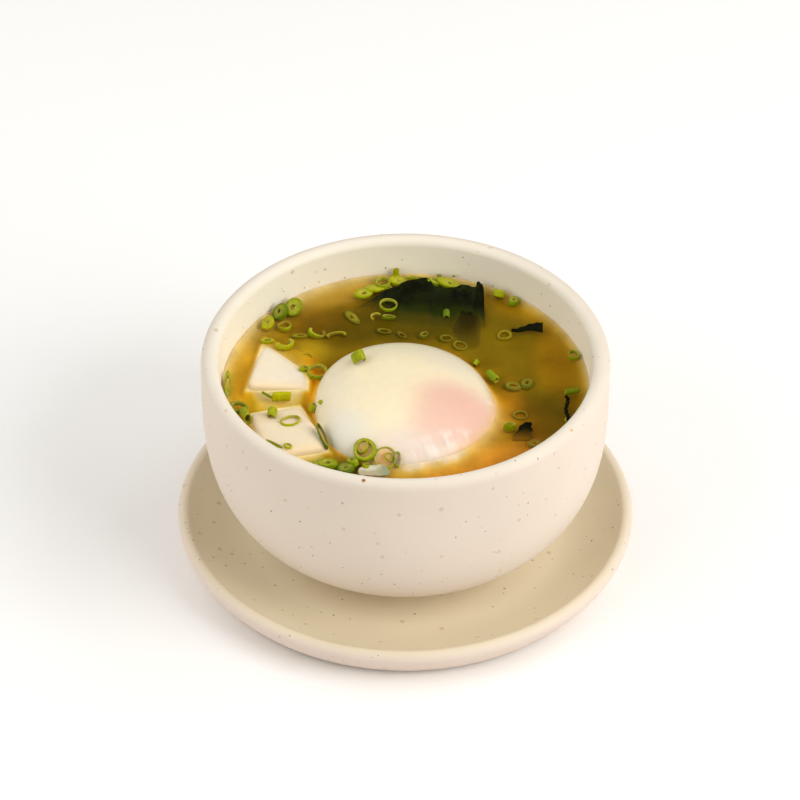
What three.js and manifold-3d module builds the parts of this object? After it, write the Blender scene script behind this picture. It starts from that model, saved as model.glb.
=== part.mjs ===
// A bowl of miso soup on its saucer: stoneware bowl and saucer, broth, a poached egg, two blocks of
// tofu, wakame seaweed and sliced scallion.
// Millimetres, +Z up, +X to the right and +Y to the back. The origin is the centre of the saucer's
// foot ring, on the surface that it stands on.
import * as THREE from "three";
import { mergeVertices } from "three/addons/utils/BufferGeometryUtils.js";
import Module from "manifold-3d";

const wasm = await Module();
wasm.setup();

// ---- driving dimensions ----------------------------------------------------------------------
const GAP = 0.3; // air between pieces that rest on or in each other
const SLICE_GAP = 0.42; // the same round a scallion slice, whose corners are square
const ROUND = 48; // facets round the bowl, the saucer and the broth

const SAUCER_RADIUS = 73.9;
const SAUCER_LIP = 2.3; // radius of the round lip
const SAUCER_LIP_HEIGHT = 10.5; // centre of the lip
const SAUCER_WALL_START = 67; // radius where the outside wall leaves the underside
const SAUCER_WALL_BEND = 1.6; // power of its cosine and sine: 1 is a round quarter, 2 is straight
const SAUCER_FLOOR = 4.2; // top of the flat floor
const SAUCER_FLOOR_RADIUS = 50;
const SAUCER_FOOT_RADIUS = 62;
const SAUCER_FOOT_WIDTH = 5;
const SAUCER_RECESS = 1; // height of the underside inside the foot ring

const BOWL_RADIUS = 65;
const BOWL_LIP = 2.8; // radius of the round lip
const BOWL_LIP_HEIGHT = 72.5; // centre of the lip
const BOWL_SHOULDER = 72; // where the belly's curve starts, going down
const BOWL_BOTTOM = 6.2; // where it ends
const BOWL_BOTTOM_RADIUS = 20.5;
const BELLY_ACROSS = 1.13; // powers of the curve's cosine and sine: 1 and 1 would be an ellipse
const BELLY_DOWN = 0.533;
const BOWL_FOOT = SAUCER_FLOOR + GAP;
const BOWL_FOOT_RADIUS = 30;
const BOWL_FOOT_WIDTH = 4.5;
const WALL = 5.6; // the lip's width
const WALL_GAIN = 0.7; // the wall is this much thicker below the lip
const WALL_GAIN_DEPTH = 10;

const SOUP_LEVEL = 62.5;

const EGG_CENTRE = [1, -10.6];
const EGG_RADIUS = 29.5;
const EGG_WIDEST = SOUP_LEVEL - 2.5; // height of the widest section
const EGG_DOME = 12.6; // from there to the top
const EGG_BELLY = 13; // and to the bottom
const EGG_TILT = [-0.06, 0.04]; // rise for each mm towards +X and +Y

const DEG = Math.PI / 180;

// ---- helpers: three.js geometry to a manifold-3d solid and back ---------------------------------
function welded(geometry) {
  const bare = geometry.clone();
  bare.deleteAttribute("normal");
  bare.deleteAttribute("uv");
  const merged = mergeVertices(bare, 1e-4);
  const kept = [];
  const index = merged.index.array;
  for (let i = 0; i < index.length; i += 3) {
    const [a, b, c] = index.slice(i, i + 3);
    if (a !== b && b !== c && c !== a) kept.push(a, b, c);
  }
  merged.setIndex(kept);
  return merged;
}

function solidOf(geometry) {
  const mesh = welded(geometry);
  return new wasm.Manifold(
    new wasm.Mesh({
      numProp: 3,
      vertProperties: mesh.attributes.position.array,
      triVerts: new Uint32Array(mesh.index.array),
    }),
  );
}

function geometryOf(solid) {
  const mesh = solid.getMesh();
  const geometry = new THREE.BufferGeometry();
  geometry.setAttribute("position", new THREE.BufferAttribute(mesh.vertProperties, 3));
  geometry.setIndex(new THREE.BufferAttribute(mesh.triVerts, 1));
  geometry.computeVertexNormals();
  return geometry;
}

// Every vertex moved out along its normal, so that cutting with the result leaves a gap.
function grown(geometry, gap) {
  const mesh = welded(geometry);
  mesh.computeVertexNormals();
  const { position, normal } = mesh.attributes;
  for (let i = 0; i < position.count; i++) {
    position.setXYZ(
      i,
      position.getX(i) + gap * normal.getX(i),
      position.getY(i) + gap * normal.getY(i),
      position.getZ(i) + gap * normal.getZ(i),
    );
  }
  return mesh;
}

// The largest body of a cut: scraps that the cut sets loose are dropped.
function largest(solid) {
  return solid.decompose().reduce((best, body) => (body.volume() > best.volume() ? body : best));
}

// ---- helpers: shapes -------------------------------------------------------------------------
// A profile of [radius, height] pairs turned about Z.
function lathe(profile, segments = ROUND) {
  const points = profile.map(([radius, height]) => new THREE.Vector2(radius, height));
  return new THREE.LatheGeometry(points, segments).rotateX(Math.PI / 2);
}

// Points on a circle in the profile plane, from one angle to another.
function arc(radius, height, size, from, to, steps) {
  return Array.from({ length: steps + 1 }, (_, i) => {
    const angle = (from + ((to - from) * i) / steps) * DEG;
    return [radius + size * Math.cos(angle), height + size * Math.sin(angle)];
  });
}

// Moves every vertex of a geometry to place(x, y, z).
function shaped(geometry, place) {
  const { position } = geometry.attributes;
  for (let i = 0; i < position.count; i++) {
    position.setXYZ(i, ...place(position.getX(i), position.getY(i), position.getZ(i)));
  }
  return geometry;
}

// A thin sheet: place(u, v) gives [x, y, z] of its middle for u and v from 0 to 1. Both faces are
// split into triangles alike, and a rim joins them.
function sheet(place, thickness, columns, rows) {
  const points = [];
  for (const side of [0.5, -0.5]) {
    for (let j = 0; j <= rows; j++) {
      for (let i = 0; i <= columns; i++) {
        const [x, y, z] = place(i / columns, j / rows);
        points.push(x, y, z + side * thickness);
      }
    }
  }
  const top = (i, j) => j * (columns + 1) + i;
  const under = (i, j) => top(i, j) + (columns + 1) * (rows + 1);
  const faces = [];
  const quad = (a, b, c, d) => faces.push(a, b, c, a, c, d);
  for (let j = 0; j < rows; j++) {
    for (let i = 0; i < columns; i++) {
      quad(top(i, j), top(i + 1, j), top(i + 1, j + 1), top(i, j + 1));
      const [a, b, c, d] = [under(i, j), under(i + 1, j), under(i + 1, j + 1), under(i, j + 1)];
      faces.push(a, c, b, a, d, c);
    }
  }
  for (let i = 0; i < columns; i++) {
    quad(under(i, 0), under(i + 1, 0), top(i + 1, 0), top(i, 0));
    quad(top(i, rows), top(i + 1, rows), under(i + 1, rows), under(i, rows));
  }
  for (let j = 0; j < rows; j++) {
    quad(top(0, j), top(0, j + 1), under(0, j + 1), under(0, j));
    quad(under(columns, j), under(columns, j + 1), top(columns, j + 1), top(columns, j));
  }
  const geometry = new THREE.BufferGeometry();
  geometry.setAttribute("position", new THREE.Float32BufferAttribute(points, 3));
  geometry.setIndex(faces);
  return geometry;
}

const mix = (a, b, t) => a + (b - a) * t;
const wave = (turns, t, phase = 0) => Math.sin(2 * Math.PI * (turns * t + phase));

// ---- saucer ----------------------------------------------------------------------------------
function saucerProfile() {
  const lipRadius = SAUCER_RADIUS - SAUCER_LIP;
  const footInside = SAUCER_FOOT_RADIUS - SAUCER_FOOT_WIDTH;
  const underside = [
    [0, SAUCER_RECESS],
    [footInside - SAUCER_RECESS, SAUCER_RECESS],
    [footInside, 0],
    [SAUCER_FOOT_RADIUS, 0],
    [SAUCER_FOOT_RADIUS + SAUCER_RECESS, SAUCER_RECESS],
  ];
  // The outside wall: from the underside up to the lip.
  const outside = arc(0, 0, 1, 90, 20, 3).map(([across, down]) => [
    mix(SAUCER_WALL_START, SAUCER_RADIUS, Math.max(0, across) ** SAUCER_WALL_BEND),
    mix(SAUCER_LIP_HEIGHT, SAUCER_RECESS, down ** SAUCER_WALL_BEND),
  ]);
  const lip = arc(lipRadius, SAUCER_LIP_HEIGHT, SAUCER_LIP, 0, 126, 5);
  // The inside: a curve that climbs from the flat floor and meets the lip at the lip's own slope.
  const [endRadius, endHeight] = lip[lip.length - 1];
  const inside = [0.75, 0.5, 0.25, 0].map((t) => [
    mix(SAUCER_FLOOR_RADIUS, endRadius, t),
    mix(SAUCER_FLOOR, endHeight, t ** 1.85),
  ]);
  return [...underside, ...outside, ...lip, ...inside, [0, SAUCER_FLOOR]];
}

// ---- bowl ------------------------------------------------------------------------------------
// The belly's outside for t from 0 at the shoulder to 1 at the bottom.
function bellyPoint(t) {
  const angle = t * (Math.PI / 2);
  const across = Math.max(0, Math.cos(angle)) ** BELLY_ACROSS;
  const down = Math.sin(angle) ** BELLY_DOWN;
  return [mix(BOWL_BOTTOM_RADIUS, BOWL_RADIUS, across), mix(BOWL_SHOULDER, BOWL_BOTTOM, down)];
}

// The inside of the wall at the same t, moved a little further in by extra.
function insidePoint(t, extra = 0) {
  const step = 0.004;
  const [radiusA, heightA] = bellyPoint(Math.max(t - step, 0.0005));
  const [radiusB, heightB] = bellyPoint(Math.min(t + step, 1));
  const length = Math.hypot(radiusB - radiusA, heightB - heightA);
  const inward = [(heightB - heightA) / length, (radiusA - radiusB) / length];
  const [radius, height] = bellyPoint(t);
  const depth = Math.min(1, (BOWL_LIP_HEIGHT - height) / WALL_GAIN_DEPTH);
  const wall = WALL + WALL_GAIN * depth + extra;
  return [radius + wall * inward[0], height + wall * inward[1]];
}

// Values of t down the wall, closer together near the shoulder, where the curve runs fastest.
const STEPS = Array.from({ length: 10 }, (_, i) => (i / 9) ** 1.6);

function bowlProfile() {
  const footInside = BOWL_FOOT_RADIUS - BOWL_FOOT_WIDTH;
  const underside = [
    [0, BOWL_BOTTOM],
    [footInside - 1, BOWL_BOTTOM],
    [footInside, BOWL_FOOT],
    [BOWL_FOOT_RADIUS, BOWL_FOOT],
  ];
  // The foot ring's outside meets the belly at the first point that is wider than the ring.
  const outside = STEPS.map(bellyPoint).reverse().filter(([radius]) => radius > BOWL_FOOT_RADIUS);
  const lip = arc(BOWL_RADIUS - BOWL_LIP, BOWL_LIP_HEIGHT, BOWL_LIP, 0, 180, 6);
  const inside = STEPS.slice(1).map((t) => insidePoint(t));
  return [...underside, ...outside, ...lip, ...inside, [0, insidePoint(1)[1]]];
}

// ---- broth -----------------------------------------------------------------------------------
function brothProfile() {
  const wall = STEPS.map((t) => insidePoint(t, GAP)).reverse();
  const wet = wall.filter(([, height]) => height < SOUP_LEVEL - 1);
  const [radiusBelow, heightBelow] = wet[wet.length - 1];
  const [radiusAbove, heightAbove] = [BOWL_RADIUS - 2 * BOWL_LIP - GAP, BOWL_LIP_HEIGHT];
  const share = (SOUP_LEVEL - heightBelow) / (heightAbove - heightBelow);
  const edge = mix(radiusBelow, radiusAbove, share);
  return [[0, wet[0][1]], ...wet, [edge, SOUP_LEVEL], [0, SOUP_LEVEL]];
}

// ---- poached egg -----------------------------------------------------------------------------
// The outline is nearly round, with bulges at the front left and back left, flatter sides at the
// front right and right, and a little more depth at the back.
function eggRadius(angle) {
  const towards = (heading, power) => Math.max(0, Math.cos(angle - heading * DEG)) ** power;
  const bulge = 1.6 * towards(228, 8) + 1.4 * towards(146, 8);
  const flat = 0.9 * towards(305, 6) + 1.1 * towards(17, 8);
  const deep = 0.5 * Math.max(0, Math.sin(angle)) ** 2;
  return EGG_RADIUS + bulge - flat + deep + 0.3 * Math.cos(3 * angle + 1);
}

function eggPlace(x, y, z) {
  const angle = Math.atan2(y, x);
  const reach = Math.hypot(x, y) * eggRadius(angle);
  const [dx, dy] = [reach * Math.cos(angle), reach * Math.sin(angle)];
  const tilt = EGG_TILT[0] * dx + EGG_TILT[1] * dy;
  const lumps = 0.25 * Math.sin(0.21 * dx + 0.8) * Math.cos(0.17 * dy) * Math.max(0, z);
  const height = z * (z > 0 ? EGG_DOME : EGG_BELLY);
  return [EGG_CENTRE[0] + dx, EGG_CENTRE[1] + dy, EGG_WIDEST + height + tilt + lumps];
}

function eggGeometry() {
  const ball = welded(new THREE.SphereGeometry(1, 28, 13).rotateX(Math.PI / 2));
  return shaped(ball, eggPlace);
}

// Height of the egg's top at a place in plan.
function eggTop(x, y) {
  const [dx, dy] = [x - EGG_CENTRE[0], y - EGG_CENTRE[1]];
  const share = Math.min(0.98, Math.hypot(dx, dy) / eggRadius(Math.atan2(dy, dx)));
  const up = Math.sqrt(1 - share * share);
  return EGG_WIDEST + EGG_DOME * up + EGG_TILT[0] * dx + EGG_TILT[1] * dy;
}

// ---- tofu ------------------------------------------------------------------------------------
// A block is a rounded cube drawn to four corners in plan, with its top creased along a line: past
// the crease the top falls away by slope. The back block lies tilted, with its crease at a corner.
// Corners run anticlockwise from the front left.
const TOFU = {
  tofu_back: {
    corners: [[-50.6, -2.4], [-31.2, -2], [-30.8, 15], [-45.4, 25]],
    top: SOUP_LEVEL + 2.5,
    thick: 17,
    crease: { at: [-51, -2], towards: [0.733, 0.68], slope: 0.14 },
  },
  tofu_front: {
    corners: [[-43, -37.5], [-24, -32.6], [-33.6, -9.6], [-49.8, -14.4]],
    top: SOUP_LEVEL + 2.1,
    thick: 17,
    crease: { at: [-38, -21.5], towards: [0, 1], slope: 0.2 },
  },
};
const TOFU_CORNER = 9; // power of the rounded cube: higher is squarer
const TOFU_TAPER = 0.97; // the bottom is this share of the top's plan

function tofuTop(block, x, y) {
  const { at, towards, slope } = block.crease;
  const past = (x - at[0]) * towards[0] + (y - at[1]) * towards[1];
  return block.top - slope * Math.max(0, past);
}

function tofuGeometry(block) {
  const { corners, thick } = block;
  const centre = [0, 1].map((axis) => corners.reduce((sum, corner) => sum + corner[axis], 0) / 4);
  const cube = welded(new THREE.BoxGeometry(2, 2, 2, 5, 5, 3));
  return shaped(cube, (x, y, z) => {
    const sides = [x, y, z].map(Math.abs);
    const size = sides.reduce((sum, side) => sum + side ** TOFU_CORNER, 0) ** (1 / TOFU_CORNER);
    const round = Math.max(...sides) / size;
    const [u, v, w] = [x, y, z].map((value) => (1 + value * round * 1.015) / 2);
    const spread = mix(TOFU_TAPER, 1, w);
    const plan = [0, 1].map((axis) => {
      const front = mix(corners[0][axis], corners[1][axis], u);
      const back = mix(corners[3][axis], corners[2][axis], u);
      return centre[axis] + spread * (mix(front, back, v) - centre[axis]);
    });
    const top = tofuTop(block, plan[0], plan[1]);
    return [plan[0], plan[1], mix(block.top - thick, top, w)];
  });
}

// ---- wakame ----------------------------------------------------------------------------------
// Each piece is a thin wavy sheet at the soup's surface.
// The back edge of the big frond behind the egg, from left to right: a rise, a notch and two crests.
const FROND_EDGE = new THREE.SplineCurve(
  [
    [-16, 41.6], [-11, 44.5], [-6.5, 47.5], [-2.8, 48.9], [0.8, 52.2], [7.3, 53.2],
    [9.9, 48.6], [15.6, 48.2], [19.6, 49.5], [22.7, 47.6], [23.9, 51.6], [25.4, 46],
  ].map(([x, y]) => new THREE.Vector2(x, y)),
);
const WAKAME = {
  // Its back edge is ruffled and stands out of the soup.
  wakame_frond: {
    columns: 22,
    rows: 3,
    thickness: 0.9,
    place: (u, v) => {
      const back = FROND_EDGE.getPoint(u);
      const front = 33 + 5 * (1 - u) ** 3 + 0.4 * wave(2.3, u);
      const lift = 0.35 + 1.65 * v ** 2 + 0.25 * wave(2, u, v);
      return [back.x, mix(front, back.y, v), SOUP_LEVEL + lift];
    },
  },
  // A narrow curl to the right of it, hooked up at its far end.
  wakame_curl: {
    columns: 10,
    rows: 3,
    thickness: 0.8,
    place: (u, v) => {
      const width = 0.9 + 1.6 * u ** 0.6;
      const y = 28.9 + 0.6 * wave(1, u, 0.6) + (v - 0.5) * width;
      return [mix(34.2, 44.4, u), y, SOUP_LEVEL + 0.3 + 0.9 * u * v + 0.8 * u ** 6 * v];
    },
  },
  // A pointed scrap at the right of the egg.
  wakame_leaf: {
    columns: 4,
    rows: 7,
    thickness: 0.8,
    place: (u, v) => {
      const width = 4.6 * (1 - v) ** 0.7 + 0.5;
      const x = mix(37, 38, v) + (u - 0.5) * width;
      return [x, mix(-25.6, -18.6, v), SOUP_LEVEL + 0.2 + 1.1 * v - 0.5 * wave(0.5, u)];
    },
  },
  // A thread by the right wall.
  wakame_thread: {
    columns: 1,
    rows: 12,
    thickness: 0.8,
    place: (u, v) => {
      const x = 51.2 + 0.35 * wave(1.5, v) + (u - 0.5) * 1.2;
      return [x, mix(-19.4, -5.6, v), SOUP_LEVEL + 0.35 + 0.2 * wave(2, v)];
    },
  },
};

// A loose shred of egg white, floating in front of the egg.
const EGG_SHRED = {
  columns: 10,
  rows: 5,
  thickness: 1.3,
  place: (u, v) => {
    const half = 3 * Math.sqrt(Math.max(0.08, 1 - (2 * u - 1) ** 4));
    const y = -43.8 + 1.2 * wave(0.5, u) + (2 * v - 1) * half;
    return [mix(-14.4, -4.6, u), y, SOUP_LEVEL + 0.25 + 0.45 * wave(1.5, u, 0.3 * v)];
  },
};

// ---- scallion slices ---------------------------------------------------------------------------
// Each slice is a short length of the hollow leaf. A row gives: x, y, outside radius, length along
// the leaf, share that it is pressed flat, lean from upright and heading of the lean in degrees.
const SLICE_WALL = 0.85;
const SLICE_SIDES = 8;
const SLICE_REACH = 57.9; // the furthest from the bowl's axis that a slice may come
const SLICES = {
  broth: [
    [-36.2, 40.2, 2.5, 2.4, 0.9, 40, 200],
    [-40.3, 36.9, 2.3, 3, 0.8, 55, 150],
    [-45, 31, 2.3, 2, 0.75, 15, 90],
    [-44.8, 22.6, 2, 2, 0.6, 30, 0],
    [-38.6, 20.8, 2.6, 1.8, 0.8, 15, 30],
    [-28.2, 26.8, 2.4, 2, 0.7, 20, 20],
    [-21.8, 25.5, 2.9, 1.8, 0.35, 10, 0],
    [-27.5, 6.6, 3.1, 1.3, 1, 5, 0],
    [-56.2, -1, 4.4, 1.5, 0.22, 15, 90],
    [-52.8, -14.6, 2.9, 4.4, 0.85, 12, 300],
    [-39.8, -7, 1.5, 5.6, 0.9, 90, 5],
    [-28.6, -13.4, 1.5, 2, 0.8, 30, 40],
    [-28.6, -41, 2.8, 1.8, 0.6, 30, 90],
    [-23.4, -40.6, 2.9, 1.8, 0.7, 20, 60],
    [-18.2, -41.8, 3.2, 1.5, 0.85, 10, 90],
    [-7.2, 53.3, 2.5, 1.6, 0.85, 15, 90],
    [-2.4, 53, 2.1, 1.8, 0.7, 25, 0],
    [-9.1, 49.7, 2.8, 1.8, 0.55, 20, 10],
    [-14.2, 46.6, 1.9, 1.6, 0.8, 15, 60],
    [8.9, 52.5, 2.2, 1.6, 0.7, 15, 10],
    [13.1, 51.7, 2.6, 1.5, 0.6, 15, 0],
    [30.4, 46, 2.2, 2, 0.8, 35, 30],
    [35.2, 43, 2.2, 1.8, 0.7, 20, 60],
    [54, 15, 1.8, 1.4, 1, 5, 0],
    [27.8, 3.4, 1.4, 5, 0.9, 90, 305],
    [34.6, 0.4, 2.6, 1.4, 0.9, 8, 0],
    [39, 2.2, 2.4, 1.6, 0.75, 25, 90],
    [53, -3.6, 1, 4.8, 0.9, 90, 15],
    [32.8, -21.2, 1.9, 2.6, 0.75, 25, 0],
  ],
  egg: [
    [-15, 2.2, 2.2, 5.2, 0.8, 80, 25],
    [-12.6, -35.8, 3.7, 3.4, 0.9, 18, 270],
    [-5.9, -37.8, 3.3, 1.4, 0.85, 25, 300],
    [-2.2, -38.4, 2.2, 1.6, 0.6, 40, 20],
  ],
  tofu_back: [
    [-32.4, 8, 1.7, 1.8, 0.6, 25, 20],
  ],
  tofu_front: [
    [-42, -17, 1.9, 3.2, 0.85, 75, 80],
    [-36.2, -20.6, 3.2, 1.3, 0.75, 8, 20],
    [-37.6, -33.6, 1.8, 1.5, 0.8, 25, 60],
    [-41, -32.4, 2.4, 1.4, 0.3, 10, 350],
    [-26, -28.6, 4.7, 2.2, 0.2, 12, 292],
  ],
  wakame_frond: [
    [-5.6, 40.4, 2.9, 1.5, 0.95, 4, 0],
    [-9.8, 36.6, 2, 1.5, 0.8, 8, 0],
    [-4.8, 36.2, 1.6, 1.5, 0.6, 20, 30],
  ],
};
// How far a slice's middle stands above what it lies on.
const SLICE_LIFT = { broth: 0.35, egg: 0.5, tofu_back: 0.5, tofu_front: 0.5, wakame_frond: 0.7 };

function sliceGeometry([x, y, radius, length, pressed, lean, heading], surface, lift, grow = 0) {
  const outer = radius + grow;
  const inner = Math.max(0.3, radius - SLICE_WALL - grow);
  const half = length / 2 + grow;
  const profile = [[inner, -half], [outer, -half], [outer, half], [inner, half], [inner, -half]];
  // A slice that lies on its side is raised so that a third of it is sunk.
  const sideways = Math.sin(lean * DEG) ** 2;
  const height = surface + lift + sideways * Math.max(0, radius * 0.6 - lift);
  // One that would meet the bowl is drawn in towards the axis.
  const drawn = Math.min(1, (SLICE_REACH - radius * pressed) / Math.hypot(x, y));
  return lathe(profile, SLICE_SIDES)
    .scale(1, pressed, 1)
    .rotateY(lean * DEG)
    .rotateZ(heading * DEG)
    .translate(x * drawn, y * drawn, height);
}

// Adds a host's slices to it. With grow, host and slices are both larger, to cut a neighbour with.
function withSlices(name, host, surfaceAt, grow = 0) {
  const base = grow ? grown(host, GAP) : host;
  const slices = (SLICES[name] ?? []).map((row) =>
    solidOf(sliceGeometry(row, surfaceAt(row[0], row[1]), SLICE_LIFT[name], grow)),
  );
  return slices.reduce((joined, slice) => joined.add(slice), solidOf(base));
}

// ---- assembly --------------------------------------------------------------------------------
const SURFACES = {
  egg: eggTop,
  tofu_back: (x, y) => tofuTop(TOFU.tofu_back, x, y),
  tofu_front: (x, y) => tofuTop(TOFU.tofu_front, x, y),
  wakame_frond: () => SOUP_LEVEL,
};

const contents = {
  egg: eggGeometry(),
  tofu_back: tofuGeometry(TOFU.tofu_back),
  tofu_front: tofuGeometry(TOFU.tofu_front),
};
for (const [name, piece] of Object.entries({ ...WAKAME, egg_shred: EGG_SHRED })) {
  contents[name] = sheet(piece.place, piece.thickness, piece.columns, piece.rows);
}

// Each piece of the contents is trimmed to clear the ones before it, then the broth is cut round all
// of them.
const solids = {};
const cutters = [];
for (const [name, geometry] of Object.entries(contents)) {
  const solid = withSlices(name, geometry, SURFACES[name]);
  solids[name] = largest(cutters.reduce((left, cutter) => left.subtract(cutter), solid));
  cutters.push(withSlices(name, geometry, SURFACES[name], SLICE_GAP));
}
const broth = withSlices("broth", lathe(brothProfile()), () => SOUP_LEVEL);
solids.broth = largest(cutters.reduce((left, cutter) => left.subtract(cutter), broth));
solids.bowl = solidOf(lathe(bowlProfile()));
solids.saucer = solidOf(lathe(saucerProfile()));

const LOOKS = {
  saucer: { color: 0xd9c4a2, roughness: 0.7 },
  bowl: { color: 0xe6d8c4, roughness: 0.65 },
  broth: { color: 0x8a640f, roughness: 0.15 },
  egg: { color: 0xf7e8cb, roughness: 0.25 },
  egg_shred: { color: 0xe6e4dc, roughness: 0.25 },
  tofu_back: { color: 0xf6e7c8, roughness: 0.45 },
  tofu_front: { color: 0xf3e4c2, roughness: 0.45 },
};
const WAKAME_LOOK = { color: 0x171b03, roughness: 0.3 };

const soup = new THREE.Group();
for (const [name, solid] of Object.entries(solids)) {
  const material = new THREE.MeshStandardMaterial({ metalness: 0, ...(LOOKS[name] ?? WAKAME_LOOK) });
  const mesh = new THREE.Mesh(geometryOf(solid), material);
  mesh.name = name;
  soup.add(mesh);
}

export default soup;
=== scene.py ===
import bpy
import numpy as np
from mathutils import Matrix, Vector


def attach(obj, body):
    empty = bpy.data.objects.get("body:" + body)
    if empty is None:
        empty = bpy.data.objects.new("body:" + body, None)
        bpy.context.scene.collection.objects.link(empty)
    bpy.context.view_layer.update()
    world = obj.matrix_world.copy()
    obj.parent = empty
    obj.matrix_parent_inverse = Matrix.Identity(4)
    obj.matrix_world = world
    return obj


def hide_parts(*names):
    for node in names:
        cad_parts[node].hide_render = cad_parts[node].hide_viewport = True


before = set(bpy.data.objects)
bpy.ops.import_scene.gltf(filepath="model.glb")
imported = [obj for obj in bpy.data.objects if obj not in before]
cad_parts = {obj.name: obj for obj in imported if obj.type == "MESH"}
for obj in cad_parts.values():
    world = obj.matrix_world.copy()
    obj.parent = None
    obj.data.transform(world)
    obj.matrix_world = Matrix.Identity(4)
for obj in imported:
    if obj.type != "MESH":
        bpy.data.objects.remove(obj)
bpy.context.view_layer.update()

# ---- saucer ------------------------
# A wheel-thrown stoneware saucer, glazed cream all over with fine iron specks in the glaze. It
# stands on a turned foot ring and carries the bowl on its flat middle.
MM = 0.001
TURN_STEPS = 240  # columns round a turned piece
SAUCER_RADIUS = 73.9
SAUCER_LIP = 2.3  # radius of the round lip
SAUCER_LIP_HEIGHT = 10.5  # centre of the lip
SAUCER_WALL_START = 67  # radius where the outside wall leaves the underside
SAUCER_WALL_BEND = 1.6  # power of the wall's cosine and sine: 1 would be a round quarter
SAUCER_FLOOR = 4.2
SAUCER_FLOOR_RADIUS = 50
SAUCER_MIDDLE = 30  # radius of one more ring of points in the flat floor and the underside
SAUCER_FADE = 3  # rows past the lip in which the glaze takes on its inside colour
SAUCER_CLIMB = 1.85  # power by which the inside climbs from the floor to the lip
# The foot ring's profile, as radius and height.
SAUCER_FOOT = [[56, 1], [56.8, 0.2], [57.2, 0], [61.8, 0], [62.2, 0.2], [63, 1]]


def mix(start, end, share):
    """Goes from start to end as share goes from 0 to 1."""
    return start + (end - start) * share


def wave(turns, share, phase=0):
    """A sine wave that makes this many turns as share goes from 0 to 1."""
    return np.sin(2 * np.pi * (turns * share + phase))


def smooth(value, low, high):
    """Rises from 0 at low to 1 at high, level at both ends; falls if low is above high."""
    share = np.clip((value - low) / (high - low), 0, 1)
    return share * share * (3 - 2 * share)


def arc(radius, height, size, start, end, steps):
    """Points (radius, height) on a circle of a profile, from one angle in degrees to another."""
    angle = np.radians(np.linspace(start, end, steps))
    return np.stack([radius + size * np.cos(angle), height + size * np.sin(angle)], 1)


def quads(rows, columns, close_rows=False):
    """Faces of a grid of points stored row after row, each row closed on itself. close_rows joins
    the last row to the first."""
    row = np.arange(rows if close_rows else rows - 1)[:, None]
    column = np.arange(columns)[None, :]
    above = (row + 1) % rows
    beside = (column + 1) % columns
    corners = [(row, column), (row, beside), (above, beside), (above, column)]
    return np.stack([(r * columns + c).ravel() for r, c in corners], 1)


def shell(rings, first_pole, last_pole):
    """A closed surface from rings of points, shape (ring, point, 3), that run anticlockwise seen
    from above, and a pole that closes each end. Its faces are arrays, one for each kind."""
    rows, columns = rings.shape[:2]
    points = np.concatenate([rings.reshape(-1, 3), [first_pole, last_pole]])
    here = np.arange(columns)
    beside = (here + 1) % columns
    pole, end = rows * columns, (rows - 1) * columns
    first = np.c_[pole + 0 * here, beside, here]
    last = np.c_[pole + 1 + 0 * here, end + here, end + beside]
    return points, [quads(rows, columns), first, last]


def circles(profile, steps):
    """A ring of points round the Z axis for each (radius, height) of a profile."""
    angle = np.linspace(0, 2 * np.pi, steps, endpoint=False)
    radius, height = profile.T[:, :, None]
    return np.stack([radius * np.cos(angle), radius * np.sin(angle), height + 0 * angle], 2)


def turned(profile):
    """A profile from the axis underneath to the axis on top, turned about Z."""
    rings = circles(profile[1:-1], TURN_STEPS)
    return shell(rings, [0, 0, profile[0, 1]], [0, 0, profile[-1, 1]])


def piece(name, points, faces, look, slot, stands_for=()):
    """A smooth mesh object from points in millimetres, riding on the one body."""
    mesh = bpy.data.meshes.new(name)
    corners = [face for kind in faces for face in kind.tolist()]
    mesh.from_pydata((points * MM).tolist(), [], corners)
    mesh.shade_smooth()
    mesh.materials.append(look)
    made = bpy.data.objects.new(name, mesh)
    bpy.context.scene.collection.objects.link(made)
    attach(made, "root")
    if stands_for:
        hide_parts(*stands_for)
    return made


def linear(code):
    """A hex colour as linear red, green, blue and 1."""
    share = np.array([int(code[i : i + 2], 16) for i in (0, 2, 4)]) / 255
    light = np.where(share > 0.04045, ((share + 0.055) / 1.055) ** 2.4, share / 12.92)
    return [*light.tolist(), 1.0]


def lights(*codes):
    """Hex colours as rows of linear red, green and blue."""
    return np.array([linear(code)[:3] for code in codes])


def add(tree, kind, inputs=None, **settings):
    """Adds a shader node. Each input is a plain value or another node's output socket."""
    made = tree.nodes.new("ShaderNode" + kind)
    for name, value in settings.items():
        setattr(made, name, value)
    for key, value in (inputs or {}).items():
        if isinstance(value, bpy.types.NodeSocket):
            tree.links.new(value, made.inputs[key])
        else:
            made.inputs[key].default_value = value
    return made


def math(tree, operation, first, second):
    """One sum on two numbers."""
    return add(tree, "Math", {0: first, 1: second}, operation=operation).outputs[0]


def blended(tree, factor, first, second, kind="MIX"):
    """Two colours mixed, multiplied or added."""
    inputs = {0: factor, 6: first, 7: second}
    return add(tree, "Mix", inputs, data_type="RGBA", blend_type=kind).outputs[2]


def stretched(tree, value, low, high, to_low=0.0, to_high=1.0):
    """A value's range from low to high carried to another range, with nothing beyond it."""
    inputs = {0: value, 1: low, 2: high, 3: to_low, 4: to_high}
    return add(tree, "MapRange", inputs).outputs[0]


def mottled(tree, colour, clouds, spread, low, high):
    """A colour times a factor that goes from low to high while the noise in clouds goes from
    spread below a half to spread above it."""
    factor = stretched(tree, clouds, 0.5 - spread, 0.5 + spread, low, high)
    return blended(tree, 1.0, colour, factor, "MULTIPLY")


def noise(tree, where, size, detail=2.0, roughness=0.5):
    """Cloudy noise from 0 to 1 whose clouds are this many millimetres across."""
    inputs = {"Vector": where, "Scale": 1 / (size * MM), "Detail": detail, "Roughness": roughness}
    return add(tree, "TexNoise", inputs).outputs["Fac"]


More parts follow.
